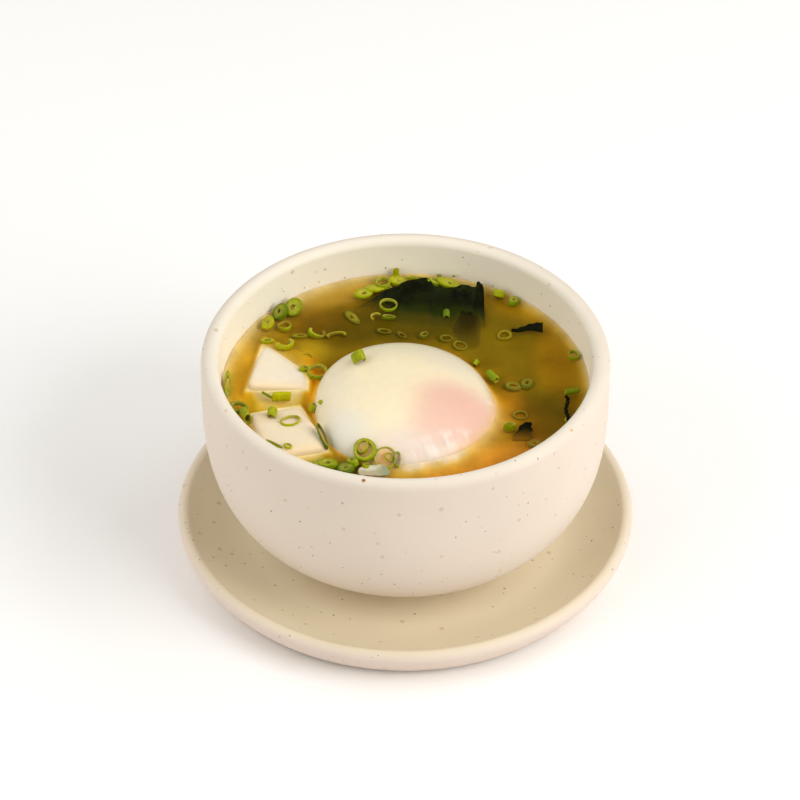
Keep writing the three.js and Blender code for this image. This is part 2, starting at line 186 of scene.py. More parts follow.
def finish(name, **sockets):
    """A new material, its node tree, its shader with these socket values, and the place on the
    piece in metres."""
    made = bpy.data.materials.new(name)
    made.use_nodes = True
    shader = made.node_tree.nodes["Principled BSDF"]
    for key, value in sockets.items():
        shader.inputs[key.replace("_", " ")].default_value = value
    where = add(made.node_tree, "TexCoord").outputs["Object"]
    return made, made.node_tree, shader, where


def bumped(tree, shader, height, depth):
    """Raises the surface by height, from 0 to 1, times depth in millimetres."""
    inputs = {"Height": height, "Distance": depth * MM, "Strength": 1.0}
    tree.links.new(add(tree, "Bump", inputs).outputs[0], shader.inputs["Normal"])


def specks(tree, where, spacing, smallest, largest, kept):
    """Scattered round specks, 1 inside and 0 outside: one in each cell of the given spacing, with
    radii in millimetres, and only in the given share of the cells."""
    cells = add(tree, "TexVoronoi", {"Vector": where, "Scale": 1 / (spacing * MM)})
    chance = add(tree, "SeparateColor", {0: cells.outputs["Color"]})
    sizes = smallest / spacing, largest / spacing
    radius = stretched(tree, chance.outputs[0], 0.0, 1.0, *sizes)
    inside = math(tree, "SUBTRACT", 1.0, math(tree, "DIVIDE", cells.outputs["Distance"], radius))
    shown = math(tree, "LESS_THAN", chance.outputs[1], kept)
    return math(tree, "MULTIPLY", stretched(tree, inside, 0.0, 0.5), shown)


def store_colour(made, name, values):
    """Stores one linear colour for each point of a piece."""
    layer = made.data.color_attributes.new(name, "FLOAT_COLOR", "POINT")
    layer.data.foreach_set("color", np.c_[values, np.ones(len(values))].ravel())


def stored(tree, name, output="Color"):
    """Reads what store_colour, or with output Fac store_number, stored."""
    return add(tree, "Attribute", attribute_name=name).outputs[output]


# The glaze's specks: colour, strength, then spacing, radii and share of the cells as specks() has
# them.
GLAZE_SPECKS = [
    ("c2a274", 0.5, 6, 0.4, 1.1, 0.75),  # soft blots where iron has bled
    ("8a6a40", 0.8, 3.2, 0.15, 0.48, 0.65),
    ("a4692a", 0.9, 12, 0.3, 0.75, 0.5),
]
# Rust spots on the bowl's lip: place, radius and colour.
RUST_SPOTS = [
    ((-12.8, -61.9, 75.1), 0.8, "90600e"),
    ((51.7, -37.3, 74.8), 0.7, "dcb070"),
]


def shaken(tree, where):
    """A place pushed up to 0.3 mm to and fro by fine noise, so that what is drawn there has ragged
    edges."""
    shake = add(tree, "TexNoise", {"Vector": where, "Scale": 1 / (0.7 * MM)}).outputs["Color"]
    centred = add(tree, "VectorMath", {0: shake, 1: (0.5, 0.5, 0.5)}, operation="SUBTRACT")
    push = add(tree, "VectorMath", {0: centred.outputs[0], "Scale": 0.6 * MM}, operation="SCALE")
    return add(tree, "VectorMath", {0: where, 1: push.outputs[0]}, operation="ADD").outputs[0]


def speckled_glaze():
    """Satin glaze: the stored colour, which carries painted light part by part, drifting a little,
    with brown iron specks, softer tan blots and a few rust spots."""
    made, tree, shader, where = finish("speckled_glaze", Specular_IOR_Level=0.3)
    colour = mottled(tree, stored(tree, "tone"), noise(tree, where, 34, 3.0), 0.15, 0.985, 1.015)
    ragged = shaken(tree, where)
    for code, strength, *cells in GLAZE_SPECKS:
        spots = specks(tree, ragged, *cells)
        colour = blended(tree, math(tree, "MULTIPLY", spots, strength), colour, linear(code))
    for place, radius, code in RUST_SPOTS:
        centre = tuple(value * MM for value in place)
        away = add(tree, "VectorMath", {0: ragged, 1: centre}, operation="DISTANCE")
        spot = stretched(tree, away.outputs["Value"], radius * MM, 0.5 * radius * MM)
        colour = blended(tree, spot, colour, linear(code))
    tree.links.new(colour, shader.inputs["Base Color"])
    grain = noise(tree, where, 1.3, 3.0)
    tree.links.new(stretched(tree, grain, 0.3, 0.7, 0.42, 0.56), shader.inputs["Roughness"])
    bumped(tree, shader, grain, 0.035)
    return made


glaze = speckled_glaze()


def stoneware(name, node, codes, profile, start, end):
    """A turned and glazed piece. Its colour goes through the three codes from one row of the
    profile, start, to another, end: the outside wall, the lip and the inside. The codes are one
    cream glaze painted lighter or darker on each part for how light falls there, lightest inside:
    painted light."""
    outside, lip, inside = lights(*codes)
    # The three colours are painted light: one cream glaze, lighter or darker on each part for how
    # light falls there.
    share = np.interp(np.arange(len(profile)), [start, end], [0, 2])[:, None]
    rows = mix(mix(outside, lip, share.clip(0, 1)), inside, (share - 1).clip(0, 1))
    made = piece(name, *turned(profile), glaze, "stoneware", [node])
    tones_with_painted_light = np.concatenate([np.repeat(rows[1:-1], TURN_STEPS, 0), rows[[0, -1]]])
    store_colour(made, "tone", tones_with_painted_light)


def saucer_profile():
    """The underside with its foot ring; the outside wall, whose radius and height follow powers of
    a quarter circle's cosine and sine; the round lip; and the inside, which climbs from the flat
    floor as a power of the way out. Also gives the rows from the lip to a little inside it."""
    angle = np.radians(np.linspace(90, 4, 16))
    recess = SAUCER_FOOT[0][1]
    across, down = np.cos(angle) ** SAUCER_WALL_BEND, np.sin(angle) ** SAUCER_WALL_BEND
    radius = mix(SAUCER_WALL_START, SAUCER_RADIUS, across)
    height = mix(SAUCER_LIP_HEIGHT, recess, down)
    before = [[0, recess], [SAUCER_MIDDLE, recess], *SAUCER_FOOT, *np.c_[radius, height]]
    lip = arc(SAUCER_RADIUS - SAUCER_LIP, SAUCER_LIP_HEIGHT, SAUCER_LIP, 0, 126, 16)
    share = np.linspace(1, 0, 18)[1:]
    radius = mix(SAUCER_FLOOR_RADIUS, lip[-1, 0], share)
    height = mix(SAUCER_FLOOR, lip[-1, 1], share**SAUCER_CLIMB)
    after = [*np.c_[radius, height], [SAUCER_MIDDLE, SAUCER_FLOOR], [0, SAUCER_FLOOR]]
    end = len(before) + len(lip) + SAUCER_FADE
    return np.array([*before, *lip, *after]), len(before), end


stoneware("stoneware_saucer", "saucer", ("e1cebf", "e5d6bb", "ede0c0"), *saucer_profile())

# ---- bowl ------------------------
# The bowl is thrown and glazed like the saucer: a round belly, a thick wall with a rounded lip, and
# a low foot ring that stands loose on the saucer.
BOWL_RADIUS = 65
BOWL_LIP = 2.8  # radius of the round lip
BOWL_LIP_HEIGHT = 72.5  # centre of the lip
BOWL_SHOULDER = 72  # where the belly's curve starts, going down
BOWL_BOTTOM = 6.2  # where it ends
BOWL_BOTTOM_RADIUS = 20.5
BELLY_ACROSS = 1.13  # powers of the curve's cosine and sine: 1 and 1 would be an ellipse
BELLY_DOWN = 0.533
WALL = 5.6  # the lip's width
WALL_GAIN = 0.7  # the wall is this much thicker from this depth below the lip's centre
WALL_GAIN_DEPTH = 10
BOWL_FOOT = [[24.5, 6.2], [25.3, 4.8], [25.8, 4.5], [29.7, 4.5], [30, 4.8]]
WALL_STEPS = np.linspace(0, 1, 49) ** 1.6  # closer together near the shoulder


def belly_point(t):
    """The belly's outside from t 0 at the shoulder to 1 at the bottom: powers of the cosine and
    sine of a quarter circle set its radius and height."""
    angle = t * np.pi / 2
    radius = mix(BOWL_BOTTOM_RADIUS, BOWL_RADIUS, np.cos(angle).clip(0) ** BELLY_ACROSS)
    height = mix(BOWL_SHOULDER, BOWL_BOTTOM, np.sin(angle) ** BELLY_DOWN)
    return np.stack([radius, height], -1)


def inside_point(t, extra=0.0):
    """The wall's inside: the belly moved in along its normal, found from a short step each way, by
    the wall and an extra."""
    step = 0.004
    above, below = belly_point(np.maximum(t - step, 0.0005)), belly_point(np.minimum(t + step, 1))
    along = (below - above) / np.linalg.norm(below - above, axis=-1, keepdims=True)
    inward = np.stack([along[..., 1], -along[..., 0]], -1)
    point = belly_point(t)
    depth = np.minimum(1, (BOWL_LIP_HEIGHT - point[..., 1]) / WALL_GAIN_DEPTH)
    wall = WALL + WALL_GAIN * depth + extra
    return point + wall[..., None] * inward


def bowl_profile():
    """The foot ring, the belly, the round lip and the inside of the wall, down to the middle. Also
    gives the rows where the lip starts and ends."""
    belly = belly_point(WALL_STEPS)[::-1]
    belly = belly[belly[:, 0] > BOWL_FOOT[-1][0]]
    lip = arc(BOWL_RADIUS - BOWL_LIP, BOWL_LIP_HEIGHT, BOWL_LIP, 0, 180, 24)
    inside = inside_point(WALL_STEPS[2:])
    before = [[0, BOWL_BOTTOM], *BOWL_FOOT, *belly]
    profile = np.array([*before, *lip, *inside, [0, inside[-1, 1]]])
    return profile, len(before), len(before) + len(lip)


stoneware("stoneware_bowl", "bowl", ("dfcfbe", "e7dcc9", "f9f1dc"), *bowl_profile())

# ---- poached egg ------------------------
# A whole egg poached out of its shell: a low dome of soft white with the yolk showing through it,
# cream on the left and pink on the right. It floats with its top out of the broth.
SOUP_LEVEL = 62.5
EGG_CENTRE = [1, -10.6]
EGG_RADIUS = 29.5
EGG_WIDEST = 60  # height of the widest section
EGG_DOME = 12.6  # from there to the top
EGG_BELLY = 13  # and to the bottom
EGG_TILT = [-0.06, 0.04]  # rise for each mm towards +X and +Y
# How much red, green and blue light the broth takes up in each millimetre under its surface, and
# the depth at which nothing shows through it.
SOUP_TAKES = np.array([0.7, 1.2, 2.6])
SOUP_HIDES = 1.6


def egg_radius(angle):
    """Nearly round, with bulges at the front left and back left, flatter sides at the front right
    and right, and a little more depth at the back."""

    def towards(heading, power):
        """1 at a heading in degrees, falling off as a power of the cosine of the way round."""
        return np.maximum(0, np.cos(angle - np.radians(heading))) ** power

    bulge = 1.6 * towards(228, 8) + 1.4 * towards(146, 8)
    flat = 0.9 * towards(305, 6) + 1.1 * towards(22, 12)
    deep = 0.5 * np.maximum(0, np.sin(angle)) ** 2
    return EGG_RADIUS + bulge - flat + deep + 0.3 * np.cos(3 * angle + 1)


def from_egg(x, y):
    """How far a place is from the egg's centre, to the right and to the back, the share of the
    way to the egg's edge, and the angle."""
    across, back = x - EGG_CENTRE[0], y - EGG_CENTRE[1]
    angle = np.arctan2(back, across)
    return across, back, np.hypot(across, back) / egg_radius(angle), angle


def egg_tilt(across, back):
    """How much the tilt raises the egg at a place from its centre."""
    return EGG_TILT[0] * across + EGG_TILT[1] * back


def egg_top(x, y):
    """Height of the egg's top at a place in plan: half an ellipse over the radius, tilted."""
    across, back, share, _ = from_egg(x, y)
    share = np.minimum(0.98, share)
    return EGG_WIDEST + EGG_DOME * np.sqrt(1 - share * share) + egg_tilt(across, back)


def rotated(x, y, degrees):
    """x and y turned anticlockwise about the origin."""
    angle = np.radians(degrees)
    return x * np.cos(angle) - y * np.sin(angle), x * np.sin(angle) + y * np.cos(angle)


def blob(x, y, middle, size, turn=0.0, edge=2.0):
    """1 in the middle of an ellipse, 0 far outside: exp of minus its radius to the edge power."""
    along, over = rotated(x - middle[0], y - middle[1], -turn)
    return np.exp(-(np.hypot(along / size[0], over / size[1]) ** edge))


def facing(angle, heading, start, full):
    """1 where an angle points to a heading in degrees, falling to 0 where the cosine of the angle
    between them falls from full to start."""
    return smooth(np.cos(angle - np.radians(heading)), start, full)


def under_soup(tree, where, colour, takes=SOUP_TAKES):
    """What a colour looks like from above at its depth in the broth: the stored colour of the broth
    round the piece covers more of it with each millimetre. Nothing changes above the surface."""
    height = add(tree, "SeparateXYZ", {0: where}).outputs[2]
    level = SOUP_LEVEL * MM
    depth = stretched(tree, height, level, level - SOUP_HIDES * MM)
    left = add(tree, "ValToRGB", {0: depth})
    elements = left.color_ramp.elements
    for share in np.linspace(0, 1, 9):
        light = np.exp(-takes * share * SOUP_HIDES) * smooth(share, 1, 0.7)
        element = elements[0] if share == 0 else elements[-1] if share == 1 else elements.new(share)
        element.color = [*light.tolist(), 1.0]
    covered = blended(tree, 1.0, linear("ffffff"), left.outputs[0], "SUBTRACT")
    dimmed = blended(tree, 1.0, colour, left.outputs[0], "MULTIPLY")
    cloud = blended(tree, 1.0, stored(tree, "cloud"), covered, "MULTIPLY")
    return blended(tree, 1.0, dimmed, cloud, "ADD")


def egg_surface():
    """A ball of rings: its plan follows egg_radius, its upper half the dome and its lower half the
    belly, and low lumps and the folds of loose white stand on top of that."""
    polar = np.linspace(np.pi, 0, 122)[1:-1, None]
    angle = np.linspace(0, 2 * np.pi, 260, endpoint=False)[None, :]
    up = np.cos(polar) + 0 * angle
    reach = np.sin(polar) * egg_radius(angle)
    across, back = reach * np.cos(angle), reach * np.sin(angle)
    lumps = 0.25 * np.sin(0.21 * across + 0.8) * np.cos(0.17 * back) * up.clip(0)
    height = np.where(up > 0, EGG_DOME, EGG_BELLY) * up + egg_tilt(across, back)
    x, y = EGG_CENTRE[0] + across, EGG_CENTRE[1] + back
    z = EGG_WIDEST + height + lumps + egg_relief(x, y) * up.clip(0) ** 0.5
    low, high = EGG_WIDEST - EGG_BELLY, EGG_WIDEST + EGG_DOME
    return shell(np.stack([x, y, z], 2), [*EGG_CENTRE, low], [*EGG_CENTRE, high])


def egg_rags(x, y):
    """Torn edges of loose white on the front right: patches cut by crossing waves."""
    torn = np.sin(0.8 * x + 0.5 * y) + 0.8 * np.sin(1.3 * y - 0.5 * x + 1)
    torn += 0.5 * np.sin(2.3 * x + 1.3 * y)
    return smooth(torn, -0.4, 0.9) * blob(x, y, (10.5, -34), (14, 4.2), 28, 4)


def egg_wisp(x, y):
    """A wisp of loose white at the right edge."""
    return blob(x, y, (28, -10.8), (2.6, 0.8), 24)


def egg_relief(x, y):
    """The rags, the wisp and a faint crease at the back, in mm."""
    crease = np.exp(-(((y - 7.2 - 0.06 * (x + 5)) / 0.6) ** 2)) * blob(x, y, (-5, 7), (6, 3), 3, 4)
    return 0.3 * egg_rags(x, y) + 0.12 * crease + 0.25 * egg_wisp(x, y)


def tinted(colour, x, y, tints):
    """Lays tints over a colour, one over the other. Each is a blob's middle, size and turn, a
    colour, its strength, and the power of the blob's edge."""
    for middle, size, turn, code, strength, edge in tints:
        share = strength * blob(x, y, middle, size, turn, edge)[:, None]
        colour = mix(colour, lights(code), share)
    return colour


# The egg's tints, from the back to the front and then the small ones, as tinted() has them.
EGG_TINTS = [
    ((-3, 12), (25, 8), 0, "ddd4b2", 0.75, 3),  # the back, a little duller
    ((15, 5), (10, 8), -30, "dfd4bb", 0.7, 3),
    ((-25, -6), (8, 17), 8, "e9dcbf", 0.7, 3),
    ((-19, -29), (9, 8), -30, "e6e0cd", 0.9, 3),  # cooler white at the front left
    ((5, -33), (20, 6), 14, "e7d4c6", 0.85, 3),  # below the pink
    ((16.3, -19.3), (14, 11.8), -12, "e4b5a0", 0.93, 4),  # the yolk through the thin white
    ((9.5, -26), (8.5, 6.5), 10, "e8bfa9", 0.7, 3),
    ((21, -20), (7, 7), 0, "dfae99", 0.5, 2),
    ((29.6, -9), (2.2, 7), 8, "d3a565", 0.7, 2),  # amber at the right tip
    ((-12.7, -35.4), (3.2, 2.8), 0, "e6b83e", 0.9, 4),  # broth held in two rings of scallion
    ((-6.4, -37.8), (3.6, 2.8), 0, "e6b25a", 0.85, 4),
]


def egg_colour(x, y):
    """Cream in the middle and whiter towards the edge, then the tints, the rags and the wisp, and
    the broth that laps over the edge at the right and front right."""
    cream, white, rag, lap = lights("f1e1bb", "e9dcbd", "efe0d3", "ecc08c")
    _, _, over, angle = from_egg(x, y)
    colour = mix(cream, white, smooth(over, 0.5, 0.98)[:, None])
    colour = tinted(colour, x, y, EGG_TINTS)
    loose = (egg_rags(x, y) + egg_wisp(x, y)).clip(0, 1)
    colour = mix(colour, rag, 0.85 * loose[:, None])
    lapped = facing(angle, -20, 0.65, 0.92) * smooth(over, 0.85, 0.96)
    return mix(colour, lap, lapped[:, None])


def wet_food(name, clouds, low, high, grain, depth, spread, **sockets):
    """Moist food: its stored colour, in clouds of this size that are from low to high times as
    light, seen through the broth where it is sunk; a fine grain of this size and depth; and light
    that spreads this far inside it."""
    made, tree, shader, where = finish(name, Subsurface_Scale=spread * MM, **sockets)
    colour = stored(tree, "painted")
    colour = mottled(tree, colour, noise(tree, where, clouds, 3.0), 0.2, low, high)
    tree.links.new(under_soup(tree, where, colour), shader.inputs["Base Color"])
    bumped(tree, shader, noise(tree, where, grain), depth)
    return made


points, faces = egg_surface()
egg_look = {"Roughness": 0.33, "Specular_IOR_Level": 0.4, "Subsurface_Weight": 0.15}
egg_finish = wet_food("poached_white", 3, 0.98, 1.02, 0.8, 0.014, 1.5, **egg_look)
egg = piece("poached_egg", points, faces, egg_finish, "egg_white", ["egg"])
store_colour(egg, "painted", egg_colour(points[:, 0], points[:, 1]))

# ---- loose shred of egg white ------------------------
# A scrap of soft white that came off the egg in the pan: a thin rag with round edges, waved up and
# down. It isn't fixed to anything, and floats at the bowl's front wall.


def leaf_sheet(place, thickness, along, across=24):
    """A thin sheet with round edges. place(u, v) gives x, y and z of its middle. Its section is a
    flat loop: v goes out and back as one minus the loop angle's cosine, and a root of the angle's
    sine, times half the thickness, lifts one side and lowers the other. It thins at both ends."""
    u = np.linspace(0, 1, along)[:, None]
    loop = np.linspace(0, 2 * np.pi, 2 * across, endpoint=False)[None, :]
    v = (1 - np.cos(loop)) / 2 + 0 * u
    side = np.sign(np.sin(loop)) * np.abs(np.sin(loop)) ** 0.4
    ends = np.minimum(1, np.minimum(u, 1 - u) / 0.02 + 0.35)
    x, y, z = place(u + 0 * v, v)
    rings = np.stack([x, y, z - side * ends * thickness / 2], 2)
    return shell(rings, rings[0].mean(0), rings[-1].mean(0))


def shred_place(u, v):
    """An oval, waved up and down."""
    half = 2.6 * np.sqrt(np.maximum(0.08, 1 - (2 * u - 1) ** 4))
    y = -43.2 + 1.2 * wave(0.5, u) + (2 * v - 1) * half
    z = SOUP_LEVEL + 0.1 + 0.25 * wave(1.1, u, 0.3 * v + 0.1) + 0.1 * wave(4, u, v)
    return mix(-14.8, -4.8, u), y, z


points, faces = leaf_sheet(shred_place, 0.9, 60)
shred = piece("egg_white_shred", points, faces, egg_finish, "egg_white", ["egg_shred"])
# The scrap is painted grey, going to a cold grey-green at its right end, with a pale patch left of
# its middle that is a painted highlight.
white, grey, cold = lights("dad4ba", "b3a884", "8e9870")
painted_highlight = blob(points[:, 0], points[:, 1], (-11.5, -41), (4, 1.8), 12, 4)[:, None]
colour = mix(grey, cold, 0.8 * smooth(points[:, 0], -9, -6)[:, None])
store_colour(shred, "painted", mix(colour, white, painted_highlight))

# ---- tofu ------------------------
# Two blocks of silken tofu, cut with a knife, sunk to their tops in the broth. Each has a top that
# falls away past a crease, and soft edges.
TOFU_THICK = 17
TOFU_CORNER = 9  # power of the norm that rounds the blocks: higher is sharper
TOFU_FULL = 1.015  # makes up for what the norm takes off the flat faces
TOFU_TAPER = 0.97  # width at the bottom, as a share of the top's
TOFU_STEPS = 44  # points along each side of a block
# For each block: its corners in plan, the height of its top, a place on the crease with the way
# down from it and the slope past it, the colour on each side of it, which is its own cream painted
# lighter or darker for how light falls on each slope, and the lengths over which its edge fades in
# the broth, in general and in front.
TOFU = {
    "tofu_back": {
        "corners": [[-50.6, -2.4], [-31.2, -2], [-30.8, 15], [-45.4, 25]],
        "top": SOUP_LEVEL + 2.5,
        "crease": [-51, -2],
        "down": [0.733, 0.68],
        "slope": 0.14,
        "colours": ["eed9b4", "f0e2c8"],
        "fades": [0.4, 6.0],
    },
    "tofu_front": {
        "corners": [[-43, -37.5], [-24, -32.6], [-33.6, -9.6], [-49.8, -14.4]],
        "top": SOUP_LEVEL + 2.1,
        "crease": [-38, -21.5],
        "down": [0, 1],
        "slope": 0.2,
        "colours": ["ecdaba", "ebd7b3"],
        "fades": [0.4, 1.6],
    },
}


def tofu_past(block, x, y):
    """How far a place lies past the crease."""
    at, down = block["crease"], block["down"]
    return (x - at[0]) * down[0] + (y - at[1]) * down[1]


def tofu_top(block, x, y):
    """Height of the top: level up to the crease, then falling."""
    return block["top"] - block["slope"] * np.maximum(0, tofu_past(block, x, y))


def cube_points(steps):
    """Directions all over a cube from -1 to 1, as a closed surface of rings: around its sides, and
    over its top and bottom in shrinking squares."""
    side, one = np.linspace(-1, 1, steps, endpoint=False), np.ones(steps)
    square = np.r_[np.c_[side, -one], np.c_[one, side], np.c_[-side, one], np.c_[-one, -side]]
    inward = 1 - np.linspace(0, 1, steps // 2, endpoint=False)
    layers = [(share, -1) for share in inward[::-1]]
    layers += [(1, height) for height in np.linspace(-1, 1, steps)[1:-1]]
    layers += [(share, 1) for share in inward]
    return np.array([np.c_[square * share, np.full(len(square), up)] for share, up in layers])


def tofu_surface(block):
    """A cube rounded by a high power norm, drawn out to four corners in plan and to the top."""
    cube = cube_points(TOFU_STEPS)
    size = (np.abs(cube) ** TOFU_CORNER).sum(-1, keepdims=True) ** (1 / TOFU_CORNER)
    rounded = cube * TOFU_FULL / size * np.abs(cube).max(-1, keepdims=True)
    u, v, w = np.moveaxis((1 + rounded) / 2, -1, 0)
    corners = np.array(block["corners"])
    front = mix(corners[0], corners[1], u[..., None])
    back = mix(corners[3], corners[2], u[..., None])
    centre = corners.mean(0)
    spread = mix(TOFU_TAPER, 1, w)[..., None]
    plan = centre + spread * (mix(front, back, v[..., None]) - centre)
    x, y = plan[..., 0], plan[..., 1]
    low = block["top"] - TOFU_THICK
    rings = np.stack([x, y, mix(low, tofu_top(block, x, y), w)], 2)
    return shell(rings, [*centre, low - 0.1], [*centre, tofu_top(block, *centre) + 0.1])


tofu_look = {"Roughness": 0.42, "Specular_IOR_Level": 0.3, "Subsurface_Weight": 0.12}
tofu_finish = wet_food("silken_tofu", 3, 0.98, 1.02, 0.8, 0.014, 1.5, **tofu_look)
tofu_blocks = []
for node, block in TOFU.items():
    points, faces = tofu_surface(block)
    made = piece(f"{node}_block", points, faces, tofu_finish, "tofu", [node])
    # Its own cream, painted lighter or darker on each side of the crease for how light falls on the
    # two slopes: painted light.
    near, far = lights(*block["colours"])
    past = smooth(tofu_past(block, points[:, 0], points[:, 1]), -0.4, 0.4)[:, None]
    front = np.interp(points[:, 0], *np.array(block["corners"][:2]).T)
    lap = 0.4 * smooth(points[:, 1] - front, 4.5, 0)[:, None]  # broth over the front of the top
    store_colour(made, "painted", mix(mix(near, far, past), lights("f2cf8c"), lap))
    tofu_blocks.append(made)

# ---- wakame ------------------------
# Wakame seaweed, soaked and torn: thin, slippery, nearly black sheets that show green where light
# comes through their thin edges, and here that light is painted on. The largest stands out of the
# broth behind the egg, and its front runs under.
# The frond's back edge in plan, from the left.
FROND_EDGE = np.array([
    [-16, 41.6], [-11, 44.5], [-6.5, 47.5], [-2.8, 48.9], [0.8, 52.2], [7.3, 53.2],
    [9.9, 48.6], [15.6, 48.2], [19.6, 49.5], [22.6, 48.2], [23.4, 51.4], [25, 50.2], [25.6, 46],
])
# As SOUP_TAKES, for sheets so dark that the broth over them is all that sends back light.
DARK_TAKES = np.array([0.8, 0.8, 0.95])


def spline(points, share):
    """A Catmull-Rom curve through the points: each stretch is the cubic that leaves and arrives
    with half the step between its neighbours."""
    place = share * (len(points) - 1)
    start = np.minimum(np.floor(place).astype(int), len(points) - 2)
    t = (place - start)[..., None]
    before, here = points[np.maximum(start - 1, 0)], points[start]
    there, after = points[start + 1], points[np.minimum(start + 2, len(points) - 1)]
    leave, arrive = (there - before) / 2, (after - here) / 2
    bend = 2 * (here - there) + leave + arrive
    return here + leave * t + (3 * (there - here) - 2 * leave - arrive) * t**2 + bend * t**3


def frond_place(u, v):
    """From a front edge that dips under the surface back to the ruffled edge, which stands out of
    the broth. Its left end dips too."""
    back = spline(FROND_EDGE, u)
    front = 29.6 + 8 * (1 - u) ** 3 + 0.5 * wave(2.3, u)
    lift = 2.5 * v**2 - 0.5 + 0.2 * wave(2, u, v)
    ruffle = 0.16 * wave(9, u, 0.6 * v) * v + 0.1 * wave(17, u, -0.5 * v) * v
    dip = (1 - v) ** 4 + 0.8 * (1 - v) ** 9 + 3.2 * smooth(u, 0.3, 0) ** 1.5
    return back[..., 0], mix(front, back[..., 1], v), SOUP_LEVEL + lift + ruffle - dip


def curl_place(u, v):
    """A narrow strip that widens, with a ragged back edge, and hooks up at its far end."""
    width = 0.8 + 2.4 * u**0.8 + 0.35 * wave(4, u) * v + 0.2 * wave(11, u, 0.3) * v
    y = 28.4 + 0.6 * wave(1, u, 0.6) + (v - 0.3) * width
    return mix(34.2, 44.4, u), y, SOUP_LEVEL + 0.1 + 0.9 * u * v + 0.8 * u**6 * v


def leaf_place(v, u):
    """A scrap that leans to the right as it narrows, and sinks towards its wide end."""
    width = 5 * (1 - v) ** 0.5 + 1
    x = mix(36.6, 38.6, v) - (u - 0.5) * width + 0.25 * wave(2.5, v)
    return x, mix(-25.8, -18.4, v), SOUP_LEVEL + 0.05 - 1.3 * (1 - v) ** 2.6 - 0.3 * wave(0.5, u)


def thread_place(v, u):
    """A thread that wanders from side to side."""
    x = 51.2 + 0.35 * wave(1.5, v) + 0.15 * wave(7, v) - (u - 0.5) * 1.1
    return x, mix(-19.4, -5.6, v), SOUP_LEVEL + 0.35 + 0.2 * wave(2, v)


def sunk_tail_place(u, v):
    """A strip of the frond that trails forwards under the surface at the right. Its two edges sink
    by the fourth power of the way out from its middle."""
    x = mix(14.3, 25.7, v) + 0.5 * wave(1.2, u, 0.1) - 4 * u * (v - 0.5) + 0.8 * u
    sunk = 0.05 + 0.9 * u**1.2 + 0.8 * u**5 + 1.2 * (2 * v - 1) ** 4
    return x, mix(41, 20, u), SOUP_LEVEL - sunk + 0.05 * wave(2, u, 0.5 * v)


def wakame_finish():
    """Slippery and nearly black; green shows in blotches, and olive by the stored share: painted
    light where the edges stand out of the broth, and olive near and under the surface.
    """
    made, tree, shader, where = finish("wakame_skin", Roughness=0.35, Specular_IOR_Level=0.04)
    blotch = stretched(tree, noise(tree, where, 6, 4.0), 0.4, 0.7)
    dark = blended(tree, blotch, linear("0a0c02"), linear("171c05"))
    colour = blended(tree, stored(tree, "olive_and_backlit", "Fac"), dark, linear("3c4708"))
    tree.links.new(under_soup(tree, where, colour, DARK_TAKES), shader.inputs["Base Color"])
    bumped(tree, shader, noise(tree, where, 1.4, 3.0), 0.12)
    return made


def store_number(made, name, values):
    """Stores one number for each point of a piece."""
    layer = made.data.attributes.new(name, "FLOAT", "POINT")
    layer.data.foreach_set("value", values.astype(np.float32))


# Each sheet's shape, thickness, rows and columns, how much olive it is painted near and under the
# surface, and its node.
WAKAME = {
    "wakame_frond_sheet": (frond_place, 0.9, 260, 40, 0.35, ["wakame_frond"]),
    "wakame_curl_strip": (curl_place, 0.8, 90, 12, 0, ["wakame_curl"]),
    "wakame_leaf_scrap": (leaf_place, 0.8, 60, 14, 0, ["wakame_leaf"]),
    "wakame_thread_strand": (thread_place, 0.8, 120, 8, 0, ["wakame_thread"]),
    "wakame_frond_tail": (sunk_tail_place, 0.5, 80, 14, 0, []),
}
wakame = wakame_finish()
weeds = []
for name, (place, thickness, along, across, surface_olive, node) in WAKAME.items():
    points, faces = leaf_sheet(place, thickness, along, across)
    made = piece(name, points, faces, wakame, "wakame", node)
    x, y, above = points[:, 0], points[:, 1], points[:, 2] - SOUP_LEVEL
    patches = 0.5 + 0.5 * np.sin(1.9 * x) * np.sin(2.3 * y + 1)
    # Olive on the parts that stand 1.5 to 2.6 mm out of the broth is painted light, the glow of
    # light through the thin sheet; the table's share adds olive near and under the surface.
    olive_and_backlit = 0.35 * smooth(above, 1.5, 2.6) * patches + surface_olive * smooth(above, 0.9, -0.1)
    store_number(made, "olive_and_backlit", olive_and_backlit)
    weeds.append(made)

# ---- scallion ------------------------
# Spring onion, sliced thin across its hollow leaves: short tubes, some pressed flat and some on
# their side. Their outside is green, and the cut and the inside are paler. They float, or cling to
# what they lie on.
SLICE_REACH = 58.2  # the furthest from the bowl's axis that a slice may come
SLICE_WALL = 0.8
SLICE_SECTION = 16  # points round the section of a slice's wall
RING_COLUMNS = 48  # sections round a whole slice
BOW_COLUMNS = 40  # and along one that is cut open
